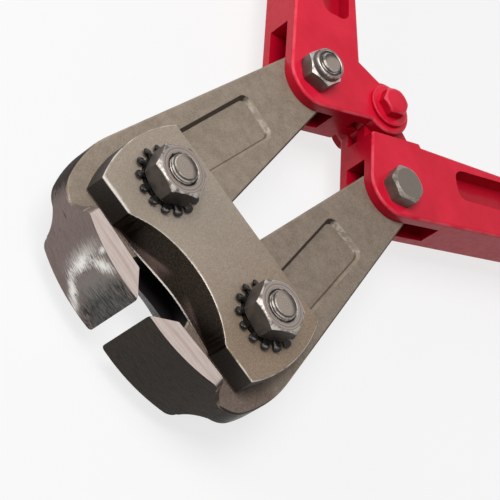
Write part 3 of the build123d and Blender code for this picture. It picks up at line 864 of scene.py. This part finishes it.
rubber = finish("grip rubber", RUBBER_BUMP, rubber_recipe, {}, Specular_IOR_Level=0.35)
nylon = finish("nylon", SMOOTH_BUMP, nylon_recipe, {})

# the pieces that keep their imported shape
packed = {"handle_head": red_paint, "handle_tube": tube_paint, "tube_pin": dull_steel, "lock_ring": nylon}
for side in SIDES:
    for part, material in packed.items():
        for slot in nodes[f"{side}_{part}"].material_slots:
            slot.material = material


# Straps, whose scooped front leans, and jaws with rounded beaks
LIP_REACH = 17.2 * MM
LIP_MIDDLE = 4 * MM
LIP_SLOPE = 0.15
LIP_SOFT = 0.8 * MM
FRONT_ZONE = 8 * MM
SCOOP_HALF = 25 * MM
# roundings of the beaks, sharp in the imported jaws
EAR_ROUND = 2.8 * MM
TIP_ROUND = 1.3 * MM
ROUND_STEPS = 7
# corners nearer than this are one
WELD = 0.002 * MM


def merged_copy(node, cuts=(), way=(1, 0, 0)):
    """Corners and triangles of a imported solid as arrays, with corners that share a place made one. The
    copy is cut at the given places by planes square to the given way, so that it can be bent there."""
    shape = bmesh.new()
    shape.from_mesh(nodes[node].data)
    bmesh.ops.remove_doubles(shape, verts=shape.verts[:], dist=WELD)
    for place in cuts:
        whole = shape.verts[:] + shape.edges[:] + shape.faces[:]
        bmesh.ops.bisect_plane(shape, geom=whole, dist=WELD, plane_co=place, plane_no=way)
    bmesh.ops.triangulate(shape, faces=shape.faces[:])
    copy = bpy.data.meshes.new(f"{node}_copy")
    shape.to_mesh(copy)
    shape.free()
    points = np.empty(len(copy.vertices) * 3)
    copy.vertices.foreach_get("co", points)
    corners = np.empty(len(copy.loops), np.int32)
    copy.loops.foreach_get("vertex_index", corners)
    bpy.data.meshes.remove(copy)
    return points.reshape(-1, 3), [corners.reshape(-1, 3)]


def leaning_strap(node, outer):
    """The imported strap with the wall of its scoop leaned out: each point of the front moves forwards by the
    share of the thickness that it lies under the outer face, times the way to the lip. The lip is one arm
    of a hyperbola: the least reach plus the root of two squares, the slope times x and the softness."""
    low, high = levels_of(node)
    points, faces = merged_copy(node)
    x, y = (points - np.array(head)).T[:2]
    share = np.abs(points[:, 2] - (high if outer > 0 else low)) / (high - low)
    lip = -LIP_REACH - np.hypot(LIP_SLOPE * (x - LIP_MIDDLE), LIP_SOFT)
    lip = np.maximum(lip, y.min() + LIP_SOFT)
    within = (y < -FRONT_ZONE) & (np.abs(x) < SCOOP_HALF)
    points[:, 1] += np.where(within, share * (np.minimum(lip, y) - y), 0.0)
    return points, faces


def rounded_beak(node, own_frame):
    """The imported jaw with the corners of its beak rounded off: no point may stand higher than the half width
    less what a quarter circle takes off at the ear and at the tip, which is the radius less the root of
    its square less the squared way into the corner."""
    bolt, turn, mirror = own_frame
    bolt = np.array(bolt)
    out = mirror * np.array((math.cos(turn), math.sin(turn), 0.0))
    raw = points_of(node) - bolt
    half = np.abs(raw[:, 2]).max()
    tip = (raw @ out).min()
    ear = (raw[np.abs(raw[:, 2]) > half - WELD] @ out).max()
    share = np.sin(np.linspace(0, np.pi / 2, ROUND_STEPS + 1))[:-1]
    cuts = np.concatenate([ear - EAR_ROUND * (1 - share), tip + TIP_ROUND * (1 - share)])
    points, faces = merged_copy(node, [bolt + x * out for x in cuts], out)
    x = (points - bolt) @ out
    past_ear = np.clip(x - ear + EAR_ROUND, 0, EAR_ROUND)
    past_tip = np.clip(tip + TIP_ROUND - x, 0, TIP_ROUND)
    off = EAR_ROUND - np.sqrt(EAR_ROUND**2 - past_ear**2) + TIP_ROUND - np.sqrt(TIP_ROUND**2 - past_tip**2)
    points[:, 2] = bolt[2] + np.clip(points[:, 2] - bolt[2], off - half, half - off)
    return points, faces


for node, outer, steel in (("upper_strap", 1, upper_strap_steel), ("lower_strap", -1, lower_strap_steel)):
    piece(node, [leaning_strap(node, outer)], "straps", "strap_steel", steel)
for node, own_frame, steel in (
    ("left_jaw", left_frame, left_jaw_steel),
    ("right_jaw", right_frame, right_jaw_steel),
):
    piece(node, [rounded_beak(node, own_frame)], node, "jaw_steel", steel)


# Fasteners, in place of their plain solids. AF is a hexagon's width across flats, FACE the radius of the
# round face that a cone leaves at its end, R a bolt's radius.
BORE_PLAY = 0.05 * MM
JAW_AF = 17 * MM
JAW_LOW_FACE = 8.1 * MM
JAW_TOP_FACE = 7.9 * MM
JAW_BOLT_R = 5 * MM
JAW_PITCH = 1.0 * MM
JAW_BOLT_CONE = 1.0 * MM
JAW_NUT_MOUTH = 5.9 * MM
JAW_NUT_CONE = 0.8 * MM
JAW_NUT_BEVEL = 0.28 * MM

STAR_INNER = 5.2 * MM
STAR_OUTER = 9.2 * MM
STAR_TEETH = 14
TOOTH_ROOT = 8.6 * MM
TOOTH_TIP = 12.15 * MM
TOOTH_LEVEL = 1.15 * MM
TOOTH_NECK = 1.15 * MM
TOOTH_KNOB = 1.5 * MM
# shares of the tooth's length at which the knob is widest and at which it ends
TOOTH_WIDEST = 0.62
TOOTH_END = 0.995
TOOTH_ROWS = 18
TOOTH_STEPS = 16
TOOTH_THICK = 0.72 * MM
TOOTH_TWIST = 0.6
TOOTH_SQUARE = 0.65

PIVOT_AF = 13 * MM
PIVOT_R = 4 * MM
PIVOT_PITCH = 1.25 * MM
PIVOT_CONE = 0.8 * MM
PIVOT_THREADED = 9 * MM
PIVOT_HEAD = 5.3 * MM
PIVOT_FACE = 5.5 * MM
PIVOT_BLUNT = 7.15 * MM
LOCK_LOW_FACE = 6.2 * MM
LOCK_TOP_FACE = 6.1 * MM
LOCK_HEX_HIGH = 5.6 * MM
LOCK_LIP_LOW = 7.4 * MM
LOCK_RING_R = 5.2 * MM
LOCK_ROUND = 0.7 * MM
LOCK_BEVEL = 0.22 * MM
# the collar round the nylon ring, as radius and level
LOCK_COLLAR = ((6 * MM, LOCK_HEX_HIGH), mm(6, 7), mm(5.7, 8), mm(4.9, 8), (4.7 * MM, LOCK_LIP_LOW))

CENTRE_AF = 10 * MM
CENTRE_R = 3 * MM
CENTRE_FACE = 4.2 * MM
CENTRE_NUT_FACE = 4.6 * MM
CENTRE_END_R = 2 * MM
CENTRE_CONE = 0.6 * MM
CENTRE_WASHER_INNER = 3.1 * MM
CENTRE_WASHER_OUTER = 8 * MM
# edges that are lost under the paint
CENTRE_BOLT_BEVEL = 0.7 * MM
CENTRE_NUT_BEVEL = 0.6 * MM
CENTRE_WASHER_BEVEL = 0.5 * MM


def ring_skin(rows, theta, axis):
    """A closed skin, like a nut's or a washer's, from rows about an upright axis."""
    return [surface(turned_grid(rows, theta, axis), closed=True)]


def squared(wave):
    """A sine or cosine raised to a power below 1, sign kept, which turns an oval towards a rectangle."""
    return np.sign(wave) * np.abs(wave) ** TOOTH_SQUARE


def star_tooth(turn, axis, level):
    """A tooth of the star washer: flattened ovals set along a radius. Half the width is the greater of a
    straight neck and half an ellipse at the tip, and the oval turns in step with the way along."""
    along = np.linspace(0, TOOTH_END, TOOTH_ROWS)[:, None]
    oval = angles(TOOTH_STEPS)[None, :]
    knob = np.sqrt(np.clip(1 - ((along - TOOTH_WIDEST) / (1 - TOOTH_WIDEST)) ** 2, 0, 1))
    neck = np.where(along < TOOTH_WIDEST, 1.0, 0.0)
    wide = np.maximum(TOOTH_NECK * neck, TOOTH_KNOB * knob) * squared(np.cos(oval))
    tall = TOOTH_THICK * np.maximum(neck, knob) * squared(np.sin(oval))
    twist = TOOTH_TWIST * along
    across = wide * np.cos(twist) - tall * np.sin(twist)
    up = wide * np.sin(twist) + tall * np.cos(twist)
    reach = TOOTH_ROOT + along * (TOOTH_TIP - TOOTH_ROOT)
    x = axis[0] + reach * math.cos(turn) - across * math.sin(turn)
    y = axis[1] + reach * math.sin(turn) + across * math.cos(turn)
    return surface(np.stack([x, y, level + up], -1))


def jaw_bolt_set(side):
    """Jaw bolt with its head below the lower strap and its thread from the nut upwards, nut with both faces
    turned and its bore opened by cones, and star washer, a flat ring with teeth."""
    bolt, nut, star = f"{side}_jaw_bolt", f"{side}_jaw_nut", f"{side}_star_washer"
    axis = centre_of(bolt)
    bolt_low, bolt_high = levels_of(bolt)
    low, high = levels_of(nut)
    theta = hex_angles(nut, axis)
    hexagon = hex_rows(JAW_AF, bolt_low, strap_low, theta, JAW_LOW_FACE)
    thread, sunk = thread_rows(JAW_BOLT_R, JAW_PITCH, strap_low, low, bolt_high, JAW_BOLT_CONE, theta)
    skin = surface(turned_grid(hexagon + thread, theta, axis))
    piece(bolt, [skin], "straps", "dark_steel", bolt_steel, axis=axis, groove=sunk)

    bore = JAW_BOLT_R + BORE_PLAY
    rows = hex_rows(JAW_AF, low, high, theta, JAW_LOW_FACE, JAW_TOP_FACE)
    rows += [(JAW_NUT_MOUTH, high), (bore, high - JAW_NUT_CONE)]
    rows += [(bore, low + JAW_NUT_CONE), (JAW_NUT_MOUTH, low)]
    piece(nut, ring_skin(rows, theta, axis), "straps", "dark_steel", dark_steel, JAW_NUT_BEVEL, axis)

    low, high = levels_of(star)
    skins = ring_skin(washer_rows(STAR_INNER, STAR_OUTER, low, high), theta, axis)
    skins += [star_tooth(turn, axis, low + TOOTH_LEVEL) for turn in angles(STAR_TEETH)]
    piece(star, skins, "straps", "dark_steel", star_steel, axis=axis)


def rear_pivot(side):
    """Lock nut, a hexagon with a rounded collar above it, and pivot bolt, a blunt hexagon with a threaded
    shank. Both are drawn upwards; the right pivot lies upside down, with its bolt head on top."""
    nut, bolt, body = f"{side}_lock_nut", f"{side}_pivot_bolt", f"{side}_handle"
    way = 1 if side == "left" else -1
    axis = centre_of(nut)
    base = levels_of(nut)[::way][0]
    theta = hex_angles(nut, axis)
    bore = PIVOT_R + BORE_PLAY
    rows = hex_rows(PIVOT_AF, 0.0, LOCK_HEX_HIGH, theta, LOCK_LOW_FACE, LOCK_TOP_FACE)
    rows += rounded(LOCK_COLLAR, LOCK_ROUND)
    rows += [(LOCK_RING_R, LOCK_LIP_LOW), (LOCK_RING_R, LOCK_HEX_HIGH), (bore, LOCK_HEX_HIGH), (bore, 0.0)]
    skins = ring_skin(flipped(rows, base, way), theta, axis)
    piece(nut, skins, body, "bright_steel", bright_steel, LOCK_BEVEL, axis)

    foot, top = levels_of(bolt)[::way]
    seat = foot + way * PIVOT_HEAD
    end = abs(top - seat)
    theta = hex_angles(bolt, axis)
    hexagon = hex_rows(PIVOT_AF, -PIVOT_HEAD, 0.0, theta, PIVOT_FACE, blunt=PIVOT_BLUNT)
    thread, sunk = thread_rows(PIVOT_R, PIVOT_PITCH, 0.0, end - PIVOT_THREADED, end, PIVOT_CONE, theta)
    skin = surface(turned_grid(flipped(hexagon + thread, seat, way), theta, axis))
    steel = bolt_steel if side == "left" else dull_steel
    piece(bolt, [skin], body, "bright_steel", steel, axis=axis, groove=sunk)


# Grips, measured along the tube from the grip's front, or back from its end where so named
GRIP_BORE_R = 12.5 * MM
GRIP_R = 16 * MM
GUARD_R = 19 * MM
GUARD_LONG = 6 * MM
GUARD_FOOT = 7 * MM
GUARD_ROUND = 2.4 * MM
SLEEVE_START = 9 * MM
SLEEVE_FROM_END = 18 * MM
BORE_FROM_END = 5 * MM
RING_PITCH = 4.6 * MM
RING_DEPTH = 0.75 * MM
RING_FLAT = 0.25
RINGS_START = 14 * MM
RINGS_FROM_END = 20 * MM
RINGS_FADE = 2 * MM
WAIST_DEPTH = 0.5 * MM
TAIL_FROM_END = 0.4 * MM
TAIL_ROUND = 8.0 * MM
TAIL_STEPS = 12
TAIL_MIDDLE_R = 1 * MM
GRIP_ROWS = 440
GRIP_STEPS = 72


def grip(side):
    """Moulded sleeve with a guard at its front, rings round its middle and a rounded end. The radius falls
    by a sine wave of the way along, cut off below so that the rings are flat, and by a waist, the squared
    sine of the way along over the length."""
    spots = points_of(f"{side}_handle_tube")
    middle = spots.mean(0)
    along = np.linalg.svd(spots - middle, full_matrices=False)[2][0]
    along *= np.sign(along[1])
    reach = (points_of(f"{side}_grip") - middle) @ along
    start, length = reach.min(), np.ptp(reach)
    across = np.cross(along, UP)
    run = np.linspace(SLEEVE_START, length - SLEEVE_FROM_END, GRIP_ROWS)
    wave = np.clip(np.sin(2 * np.pi * run / RING_PITCH), -RING_FLAT, 1) + RING_FLAT
    ringed = np.clip((run - RINGS_START) / RINGS_FADE, 0, 1)
    ringed = ringed * np.clip((length - RINGS_FROM_END - run) / RINGS_FADE, 0, 1)
    waist = WAIST_DEPTH * np.sin(np.pi * run / length) ** 2
    sleeve = GRIP_R - RING_DEPTH * wave * ringed - waist
    guard = [(GRIP_BORE_R, length - BORE_FROM_END), (GRIP_BORE_R, 0), (GUARD_R, 0), (GUARD_R, GUARD_LONG)]
    guard += [(GRIP_R, GUARD_FOOT), (sleeve[0], run[0])]
    stop = length - TAIL_FROM_END
    tail = [(sleeve[-1], run[-1]), (sleeve[-1], stop), (TAIL_MIDDLE_R, stop)]
    ends = rounded(guard, GUARD_ROUND), rounded(tail, TAIL_ROUND, TAIL_STEPS)
    profile = np.concatenate([ends[0], np.stack([sleeve, run], -1)[1:-1], ends[1]])
    radii, steps = profile[:, :1], profile[:, 1:, None]
    theta = angles(GRIP_STEPS)
    grid = (
        middle
        + (start + steps) * along
        + (radii * np.cos(theta))[..., None] * across
        + (radii * np.sin(theta))[..., None] * UP
    )
    piece(f"{side}_grip", [surface(grid)], f"{side}_handle", "grip_rubber", rubber)


def centre_bolt_set():
    """Centre bolt, its nut and its washers, with their edges lost under the paint."""
    look = ("left_handle", "red_paint", red_paint)
    axis = centre_of("centre_washer")
    washer_top = levels_of("centre_washer")[1]
    low, high = levels_of("centre_bolt")
    theta = hex_angles("centre_nut", axis)
    rows = [(CENTRE_END_R, low), (CENTRE_R, low + CENTRE_CONE), (CENTRE_R, washer_top)]
    rows += hex_rows(CENTRE_AF, washer_top, high, theta, high_face=CENTRE_FACE)
    piece("centre_bolt", [surface(turned_grid(rows, theta, axis))], *look, CENTRE_BOLT_BEVEL)
    low, high = levels_of("centre_nut")
    bore = CENTRE_R + BORE_PLAY
    rows = hex_rows(CENTRE_AF, low, high, theta, CENTRE_NUT_FACE, CENTRE_NUT_FACE)
    rows += [(bore, high), (bore, low)]
    piece("centre_nut", ring_skin(rows, theta, axis), *look, CENTRE_NUT_BEVEL)
    for node in ("centre_washer", "lower_centre_washer"):
        rows = washer_rows(CENTRE_WASHER_INNER, CENTRE_WASHER_OUTER, *levels_of(node))
        piece(node, ring_skin(rows, theta, axis), *look, CENTRE_WASHER_BEVEL)


for side in SIDES:
    jaw_bolt_set(side)
    rear_pivot(side)
    grip(side)
centre_bolt_set()


# Floor, light and background
WHITE = (1, 1, 1, 1)
FLOOR_REACH = 4.0
FLOOR_GLOW = 0.76
FLOOR_GREY = (0.9, 0.9, 0.9, 1)
WORLD_FILL = 0.12


def seen_share(wiring, strength):
    """The strength for rays that show the backdrop to the camera, in gloss or through glass, 0 for others."""
    path = wiring.node("LightPath").outputs
    seen = wiring.most(path["Is Camera Ray"], path["Is Glossy Ray"])
    seen = wiring.most(seen, path["Is Transmission Ray"])
    return wiring.times(seen, strength)


floor_mesh = bpy.data.meshes.new("floor")
corners = FLOOR_REACH * np.array([[-1, -1, 0], [1, -1, 0], [1, 1, 0], [-1, 1, 0]])
floor_mesh.from_pydata(corners.tolist(), [], [[0, 1, 2, 3]])
floor = bpy.data.objects.new("floor", floor_mesh)
scene.collection.objects.link(floor)
paper = bpy.data.materials.new("paper")
paper.use_nodes = True
paper.node_tree.nodes.remove(paper.node_tree.nodes["Principled BSDF"])
wiring = Wiring(paper.node_tree)
matt = wiring.filled(wiring.node("BsdfDiffuse"), Color=FLOOR_GREY)[0]
glow = wiring.filled(wiring.node("Emission"), Color=WHITE, Strength=1.0)[0]
both = wiring.node("MixShader")
wiring.feed_all(both.inputs, (seen_share(wiring, FLOOR_GLOW), matt, glow))
wiring.filled(paper.node_tree.nodes["Material Output"], Surface=both.outputs[0])
floor.data.materials.append(paper)

world = bpy.data.worlds.new("studio")
scene.world = world
world.use_nodes = True
wiring = Wiring(world.node_tree)
glow = wiring.between(seen_share(wiring, 1.0), WORLD_FILL, 1.0)
wiring.filled(world.node_tree.nodes["Background"], Color=WHITE, Strength=glow)


def lamp(name, away, size, power):
    """A square soft box at a place measured from the head, turned to face the head."""
    data = bpy.data.lights.new(name, "AREA")
    data.size = size
    data.energy = power
    made = bpy.data.objects.new(name, data)
    made.location = head + Vector(away)
    made.rotation_euler = (head - made.location).to_track_quat("-Z", "Y").to_euler()
    scene.collection.objects.link(made)


lamp("overhead", away=(-0.35, -0.20, 1.05), size=0.7, power=9.8)
lamp("left", away=(-0.9, -0.35, 0.35), size=0.4, power=3.0)

scene.view_settings.view_transform = "Standard"
